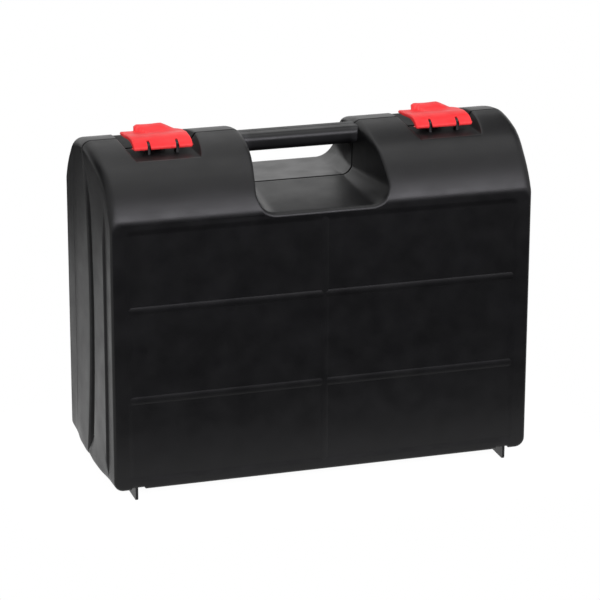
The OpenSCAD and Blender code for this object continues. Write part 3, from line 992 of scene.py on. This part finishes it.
lug_arc = [(-pivot_y + lug_r * cos(a), pivot_z + lug_r * sin(a)) for a in np.linspace(pi, 0, 17)]
lug_side = [(-pivot_y + lug_r + 0.3, lug_waist_z), (-pivot_y + lug_r + 1.2, root_z),
            (-pivot_y - lug_r - 1.2, root_z), (-pivot_y - lug_r - 0.3, lug_waist_z)]
lug = bevelled(to_object("lug", *prism(lug_arc + lug_side, -lug_t / 2, lug_t / 2)), 0.35)
made = copied("lugs", lug, latch_x, slot_x, 2, shell_plastic)
dress(mark(made), "front_half", shell_plastic)

# %% Catch ridges
catch_y, catch_t, catch_w, catch_h = 12.0, 2.8, 24.0, 5.4

ridge_top = recess_z + catch_h
ridge = [(catch_y - catch_t, root_z), (catch_y, root_z), (catch_y, ridge_top - 0.8),
         (catch_y - 0.6, ridge_top), (catch_y - catch_t + 1.2, ridge_top),
         (catch_y - catch_t, ridge_top - 1.6)]
bar = bevelled(to_object("ridge", *prism(ridge, -catch_w / 2, catch_w / 2)), 0.3)
made = copied("catch_ridges", bar, latch_x, material=shell_plastic)
dress(mark(made), "rear_half", shell_plastic)

# %% [markdown]
# ## The grip bar
# The grip is a hollow bar with wide roundings, split down the middle: each half is
# moulded in one with its shell. It could be one cylinder, but it has to part when
# the case opens. So half of its ring section is swept along X, with a fine groove
# where the halves meet, and both ends run into the cheeks.

# %% Grip halves
grip_wall, grip_seam = 2.8, 0.15


def grip_section(side):
    """Closed half ring in Y and Z, from the top seam round the outside and back inside."""
    mid_z, up, out, r = grip_top - grip_h / 2, grip_h / 2, grip_d / 2, grip_r

    def run(inset, y_seam):
        arc = np.linspace(pi / 2, 0, 12)
        turn = [(out - r + (r - inset) * cos(a), mid_z + up - r + (r - inset) * sin(a)) for a in arc]
        top = [(y_seam, mid_z + up - inset), (2.5, mid_z + up - inset), (4.5, mid_z + up - inset)]
        half = top + turn
        return half + [(y, 2 * mid_z - z) for y, z in reversed(half)]

    outer = run(0, 0.7)
    high, low = outer[0][1], outer[-1][1]
    outer[:1] = [(grip_seam, high - 0.3), (0.3, high - 0.08), (0.7, high)]
    outer[-1:] = [(0.7, low), (0.3, low + 0.08), (grip_seam, low + 0.3)]
    inner = run(grip_wall, grip_seam)
    return [(side * y, z) for y, z in outer + inner[::-1]]


grip_end = opening_w / 2 + 3.1
stations = np.linspace(-grip_end, grip_end, 13)
for side, body in ((-1, "front_half"), (1, "rear_half")):
    section = grip_section(side)
    n = len(section)
    points = [(x, y, z) for x in stations for y, z in section]
    faces = strips(len(stations), n) + [tuple(range(n))]
    faces.append(tuple((len(stations) - 1) * n + i for i in range(n)))
    grip = to_object("grip_front" if side < 0 else "grip_rear", points, faces, 50)
    each_outward(grip)
    dress(mark(grip), body, shell_plastic)
    print(grip.name, "runs from", -grip_end, "to", grip_end, "mm")

# %% [markdown]
# ## The red latches
# Both latches are the same moulding: a skirt in front that rounds over the pivot
# into a hump, a plate that falls gently to two ears, and a tab that rises off its
# centre line for a finger to lift. The sides fold down into rims, and two slots let
# the shell's lugs in. It is drawn as one sheet over a grid, with one rule for the
# side view and one for the lift of the tab, and given its wall by Solidify. Carving
# it from a block would hide how thin it is, which shows when a latch is open.

# %% Side view of a latch and the lift of its tab
side_view = [(-27.1, 317.0), (-27.9, 318.0), (-28.1, 319.1), (-27.6, 320.2), (-26.5, 321.3),
             (-25.2, 322.4), (-23.4, 323.5), (-20.7, 324.6), (-18.4, 325.2), (-15.6, 325.65),
             (-12.6, 325.9), (-9.5, 326.0), (-6.2, 325.85), (-3, 325.5), (0, 325.0), (3, 324.5),
             (6, 324.1), (9, 323.8), (12, 323.6), (15, 323.4), (18, 323.15), (21, 322.8)]
plate_rear, tab_rear, tab_left, tab_right, tab_high = 21.0, 25.2, -16.4, 10.8, 4.9


def tab_lift(x, y):
    """How high the tab stands over the plate, with a steep left end and a soft right one."""
    left = ease((x - tab_left - 0.5 * max(0.0, plate_rear - y)) / 2.0)
    right = 1 - min(1.0, max(0.0, (x - tab_right) / 11.5)) ** 1.15
    dimple = 0.35 * cos(min(pi / 2, abs(x + 1.5) / 9 * pi / 2)) * ease((y - 8) / 10)
    return (tab_high * left * right - dimple * left * right) * ease((y - 1.0) / 23.0) ** 0.9


print(f"the tab rises {tab_lift(-2, plate_rear):.1f} mm over the plate's rear edge")


# %% Ends and columns of the sheet
def rear_edge(x):
    """How far back the sheet reaches at x: ears at both ends, and the tab between them."""
    tab = tab_rear - 4.2 * min(1.0, max(0.0, (x - tab_right) / 9.0)) if x > -16.0 else plate_rear
    corner_in = 11.0 * min(1.0, max(0.0, (x - 19.5) / 9.8)) ** 1.5
    ear = plate_rear + 0.8 * ease((-x - 22) / 6)
    return max(ear, tab) - corner_in


def across_at(y):
    """Left and right ends of the sheet at a place along its side view."""
    rear = ease((y + 13) / 18)
    return -27.8 - 1.0 * ease((y + 5) / 26), 27.8 + 1.5 * rear


sheet_half, sheet_t, fold_r, stretch_from = 26.3, 1.5, 1.5, 1.5
slot_rows, outer_columns, inner_columns = 7, 10, 21


def spaced(a, b, count):
    """Evenly spaced numbers between a and b, both left out."""
    return [a + (b - a) * (i + 1) / (count + 1) for i in range(count)]


def columns(row):
    """Places across the sheet, as on its widest row, with the slots' edges among them."""
    narrow = 1.75 - 0.5 * min(1.0, row / slot_rows)
    a, b, c, d = [sign * slot_x + edge * narrow for sign in (-1, 1) for edge in (-1, 1)]
    return ([-sheet_half] + spaced(-sheet_half, a, outer_columns) + [a, b]
            + spaced(b, c, inner_columns) + [c, d] + spaced(d, sheet_half, outer_columns)
            + [sheet_half])


print("columns of the sheet:", len(columns(0)))

# %% One row of the sheet
fold = [(sin(a), 1 - cos(a)) for a in np.linspace(0, pi / 2, 5)[1:]]
view = np.array(side_view)
runs = np.gradient(view, axis=0)
runs /= np.hypot(runs[:, 0], runs[:, 1])[:, None]
rim_depths = np.interp(view[:, 0], [-28.3, -10, 21], [4.4, 3.6, 2.2])


def middle_of_row(k):
    """The part of a row between the folds. Behind the pivot it is stretched to the rear edge."""
    y, z = view[k]
    left, right = across_at(y)
    row = []
    for x in columns(k):
        end = (right - fold_r, sheet_half) if x > 0 else (left + fold_r, -sheet_half)
        x_here = x * end[0] / end[1]
        reach = (rear_edge(x_here) - stretch_from) / (plate_rear - stretch_from)
        y_here = y if y < stretch_from else stretch_from + (y - stretch_from) * reach
        z_here = np.interp(y_here, view[:, 0], view[:, 1]) if y_here > 0 else z
        row.append((x_here, y_here, z_here + tab_lift(x_here, y_here)))
    return row


def rim_of_row(k, end, sign):
    """Down over the fold at one end of a row, and on to the lower edge of the rim."""
    x, y, z = end
    ny, nz = -runs[k][1], runs[k][0]
    ring = [(x + sign * fold_r * a, y - ny * fold_r * b, z - nz * fold_r * b) for a, b in fold]
    deep = rim_depths[k]
    return ring + [(x + sign * fold_r, y - ny * q, z - nz * q) for q in (0.5 * (fold_r + deep), deep)]


print("the rim is", rim_depths[0], "mm deep in front and", rim_depths[-1], "mm at the rear")


# %% The sheet of a latch
def latch_sheet():
    """Points and faces of the whole sheet, with both slots left open."""
    rows = []
    for k in range(len(view)):
        row = middle_of_row(k)
        rows.append(rim_of_row(k, row[0], -1)[::-1] + row + rim_of_row(k, row[-1], 1))
    n = len(rows[0])
    first = len(fold) + 3 + outer_columns
    slot_starts = [first, first + 2 + inner_columns]
    faces = [f for f in strips(len(rows), n, closed=False)
             if not (f[0] // n < slot_rows and f[0] % n in slot_starts)]
    return [p for row in rows for p in row], faces


points, faces = latch_sheet()
print("latch sheet:", len(points), "points,", len(faces), "faces")

# %% [markdown]
# ## Under the latch
# Seen from below, when a latch is open, it has a barrel round the pin, two
# stiffeners and the hook. They could be joined to the sheet by a boolean, but that
# can spoil a thin wall. So they are solids of their own inside the same mesh, which
# look the same.

# %% Barrel, stiffeners and hook
barrel_r, barrel_runs = 2.6, ((-26.5, -15.2), (-11.4, 11.4), (15.2, 26.5))
stiff_x, stiff_t, hook_w = 18.9, 2.2, 20.0
stiff = [(-pivot_y, 321.8), (-19, 317.2), (12, 320.4), (14, 322.6), (-10, 324.9), (-18, 323.9)]
hook = [(12.4, 322.4), (12.4, 319.4), (12.4, 315.4), (13.2, 315.0), (14.9, 315.9), (14.9, 322.4)]


def latch_underside():
    """The solids under a latch, as one object about its middle."""
    solids = [prism(stiff, x - stiff_t / 2, x + stiff_t / 2) for x in (-stiff_x, stiff_x)]
    solids.append(prism(hook, -hook_w / 2, hook_w / 2))
    turn = np.linspace(0, 2 * pi, 33)[:-1]
    barrel = [(-pivot_y + barrel_r * cos(a), pivot_z + barrel_r * sin(a)) for a in turn]
    solids += [prism(barrel, a, b) for a, b in barrel_runs]
    return bevelled(each_outward(to_object("below", *gather(*solids))), 0.25)


print("the hook reaches down to", min(z for y, z in hook), "mm")


# %% Latches
def latch(name, middle):
    """A whole latch: the sheet with its wall, and what is under it."""
    sheet = to_object("sheet", *latch_sheet(), 50)
    wall_modifier = sheet.modifiers.new("wall", "SOLIDIFY")
    wall_modifier.thickness, wall_modifier.offset = sheet_t / 1000, -1
    bevelled(sheet, 0.3, 2, 50)
    bm = bmesh.new()
    for part in (sheet, latch_underside()):
        bm.from_mesh(part.data)
        bpy.data.objects.remove(part)
    bmesh.ops.translate(bm, verts=bm.verts[:], vec=(middle / 1000, 0, 0))
    mesh = bpy.data.meshes.new(name)
    bm.to_mesh(mesh)
    bm.free()
    smoothed(mesh, 50)
    print(name, len(mesh.polygons), "faces")
    return placed(name, mesh)


for name, node, body, middle in (("latch_red_left", "latch_left", "left_latch", -latch_x),
                                 ("latch_red_right", "latch_right", "right_latch", latch_x)):
    made = dress(mark(latch(name, middle)), body, latch_plastic)
    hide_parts(node)

# %% [markdown]
# ## Camera
# The camera was fitted to points of the photograph. It stands 2.74 m away with a
# long lens, 17 degrees to the left and 18.5 degrees above, and is turned a little
# about its own axis. It could be aimed by a constraint, but a matrix keeps that turn.

# %% Place the camera
yaw, pitch, roll, distance = radians(17.32), radians(18.55), radians(0.17), 2.735
target = Vector((0.0033, 0, 0.1376 + shell_z / 1000))
forward = Vector((sin(yaw) * cos(pitch), cos(yaw) * cos(pitch), -sin(pitch)))
level = forward.cross(Vector((0, 0, 1))).normalized()
upright = level.cross(forward)
across = level * cos(roll) + upright * sin(roll)
up = -level * sin(roll) + upright * cos(roll)
camera = placed("camera", bpy.data.cameras.new("camera"))
camera.data.sensor_width = 36
camera.data.lens = 172.3
camera.data.clip_end = 50
place = Matrix((across, up, -forward)).transposed().to_4x4()
place.translation = target - forward * distance
camera.matrix_world = place
bpy.context.scene.camera = camera
print("camera at", [round(c, 3) for c in place.translation])

# %% [markdown]
# ## Light
# A big soft box in front and above brightens the lower shoulder, a second one
# overhead lights the latches, a third one lights the left side, and the world fills
# in evenly. The backdrop is white to the camera and to reflections only, so its
# brightness isn't paid for with more light on the case.

# %% Softboxes
case_middle = (0, 0, 0.17)


def softbox(name, at, size, power, colour=(1, 1, 1)):
    """A rectangular lamp at a place, turned to the middle of the case."""
    lamp = bpy.data.lights.new(name, "AREA")
    lamp.shape = "RECTANGLE"
    lamp.size, lamp.size_y = size
    lamp.energy, lamp.color = power, colour
    box = placed(name, lamp)
    box.location = at
    box.rotation_euler = (Vector(case_middle) - Vector(at)).to_track_quat("-Z", "Y").to_euler()
    print(name, power, "W")
    return box


softbox("front_box", (0.42, -1.9, 1.12), (2.2, 0.8), 48, (0.95, 0.93, 1.0))
softbox("top_box", (0.2, 0.1, 2.2), (1.8, 1.6), 12)
softbox("left_box", (-2.0, 0.2, 1.2), (1.2, 1.4), 14).visible_glossy = False


# %% World
def seen_by(tree, *rays):
    """1 for the kinds of ray that are named, 0 for all others."""
    path = tree.nodes.new("ShaderNodeLightPath")
    total = path.outputs[rays[0]]
    for ray in rays[1:]:
        total = math_node(tree, "MAXIMUM", total, path.outputs[ray])
    return total


world = bpy.data.worlds.new("studio")
bpy.context.scene.world = world
world.use_nodes = True
nodes = world.node_tree.nodes
plain, white = nodes["Background"], nodes.new("ShaderNodeBackground")
choose = nodes.new("ShaderNodeMixShader")
for background, strength in ((plain, 0.4), (white, 1.0)):
    background.inputs["Color"].default_value = (1, 1, 1, 1)
    background.inputs["Strength"].default_value = strength
straight = seen_by(world.node_tree, "Is Camera Ray", "Is Glossy Ray", "Is Transmission Ray")
wired(world.node_tree, (straight, choose.inputs["Fac"]), (plain.outputs[0], choose.inputs[1]),
      (white.outputs[0], choose.inputs[2]),
      (choose.outputs[0], nodes["World Output"].inputs["Surface"]))
print("world fills at", plain.inputs["Strength"].default_value)

# %% [markdown]
# ## Floor
# The floor is white to the camera and to reflections by a glow of its own, and its
# dark base colour adds what light falls on it, so it still takes the case's shadow.
# The camera sees it only near the case, where that shadow is. Further out it fades
# into the backdrop, so that the open front half, which hangs lower than the ground,
# stays in view. Reflections and bounced light see all of it.

# %% Floor
floor_full, floor_fade, floor_glow = (0.22, 0.11, 0), (0.02, 0.08), 0.97


def stage_sheet(name, points, material):
    """A flat sheet that is part of the studio."""
    mesh = bpy.data.meshes.new(name)
    mesh.from_pydata(points, [], [tuple(range(len(points)))])
    mesh.materials.append(material)
    piece = placed(name, mesh)
    return piece


def beyond(tree, half_size):
    """How far a point lies outside a box of this half size about the origin."""
    place = tree.nodes.new("ShaderNodeTexCoord").outputs["Object"]
    for step, value in (("ABSOLUTE", None), ("SUBTRACT", half_size), ("MAXIMUM", (0, 0, 0)),
                        ("LENGTH", None)):
        node = tree.nodes.new("ShaderNodeVectorMath")
        node.operation = step
        tree.links.new(place, node.inputs[0])
        if value:
            node.inputs[1].default_value = value
        place = node.outputs["Value" if step == "LENGTH" else "Vector"]
    return place


pale, tree, shader = material_with("pale_floor", {
    "Base Color": (0.08, 0.08, 0.08, 1), "Roughness": 0.9, "Specular IOR Level": 0.0})
glow, add, clear, blend = (tree.nodes.new("ShaderNode" + kind) for kind in
                           ("Emission", "AddShader", "BsdfTransparent", "MixShader"))
glow.inputs["Color"].default_value = (1, 1, 1, 1)
bright = math_node(tree, "MULTIPLY", seen_by(tree, "Is Camera Ray", "Is Glossy Ray"), floor_glow)
near = ranged(tree, beyond(tree, floor_full), 1.0, 0.0, *floor_fade)
unseen = math_node(tree, "SUBTRACT", 1.0, seen_by(tree, "Is Camera Ray"))
solid = math_node(tree, "MAXIMUM", near, unseen)
surface = tree.nodes["Material Output"].inputs["Surface"]
wired(tree, (bright, glow.inputs["Strength"]), (shader.outputs[0], add.inputs[0]),
      (glow.outputs[0], add.inputs[1]), (solid, blend.inputs["Fac"]),
      (clear.outputs[0], blend.inputs[1]), (add.outputs[0], blend.inputs[2]),
      (blend.outputs[0], surface))
stage_sheet("floor", [(x, y, -0.0002) for x, y in ((-8, -6), (8, -6), (8, 10), (-8, 10))], pale)
print("the floor shows up to", [round(c + floor_fade[1], 2) for c in floor_full[:2]], "m out")

# %% [markdown]
# ## Black cards
# A photographer keeps the flat face of a black thing deep black by hiding the white
# table from it with cards. Three cards lie on the floor before and behind the case,
# and three stand around it. Only reflections see them. Where their edges lie is what
# draws the light and dark bands on the sides, so they were moved until the bands
# came where the photograph has them.

# %% Cards that only reflections see
black, tree, shader = material_with("black_flag", {
    "Base Color": (0.002, 0.002, 0.002, 1), "Roughness": 1.0, "Specular IOR Level": 0.0})
lying = {"flag_front": ((-0.18, -0.2), (0.75, -0.2), (1.9, -4.0), (-1.7, -4.0)),
         "flag_rear": ((-0.2, 0.12), (0.2, 0.12), (0.2, 4.0), (-1.1, 4.0), (-0.37, 0.8)),
         "flag_far": ((-3.0, 0.68), (-0.36, 0.68), (-1.1, 4.0), (-3.0, 4.0))}
flags = {name: [(x, y, 0.0005) for x, y in corners] for name, corners in lying.items()}
flags["flag_standing"] = [(x, -3.0, z) for x, z in ((-1.6, 0.0), (3.0, 0.0), (3.0, 1.0), (-1.6, 1.0))]
flags["flag_behind"] = [(x, 0.8, z) for x, z in ((0.56, 0.62), (2.0, 0.62), (2.0, 2.1), (0.2, 2.1))]
flags["flag_left"] = [(-1.0, y, z) for y, z in ((0.1, 0.5), (1.6, 0.5), (1.6, 1.7), (0.1, 1.7))]
for name, corners in flags.items():
    flag = stage_sheet(name, corners, black)
    flag.visible_camera = flag.visible_diffuse = flag.visible_shadow = False
    flag.visible_transmission = False
print("cards:", len(flags))

# %% [markdown]
# ## Finish
# The pins are plain turned rods, so they keep their CAD shape and only get the drawn
# steel. The view is plain Standard, so colours come out as they are set.

# %% Finish
for name in ("latch_pin_left", "latch_pin_right", "hinge_pin_left", "hinge_pin_right"):
    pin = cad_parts[name]
    pin.data.materials.clear()
    pin.data.materials.append(pin_steel)
bpy.context.scene.view_settings.view_transform = "Standard"
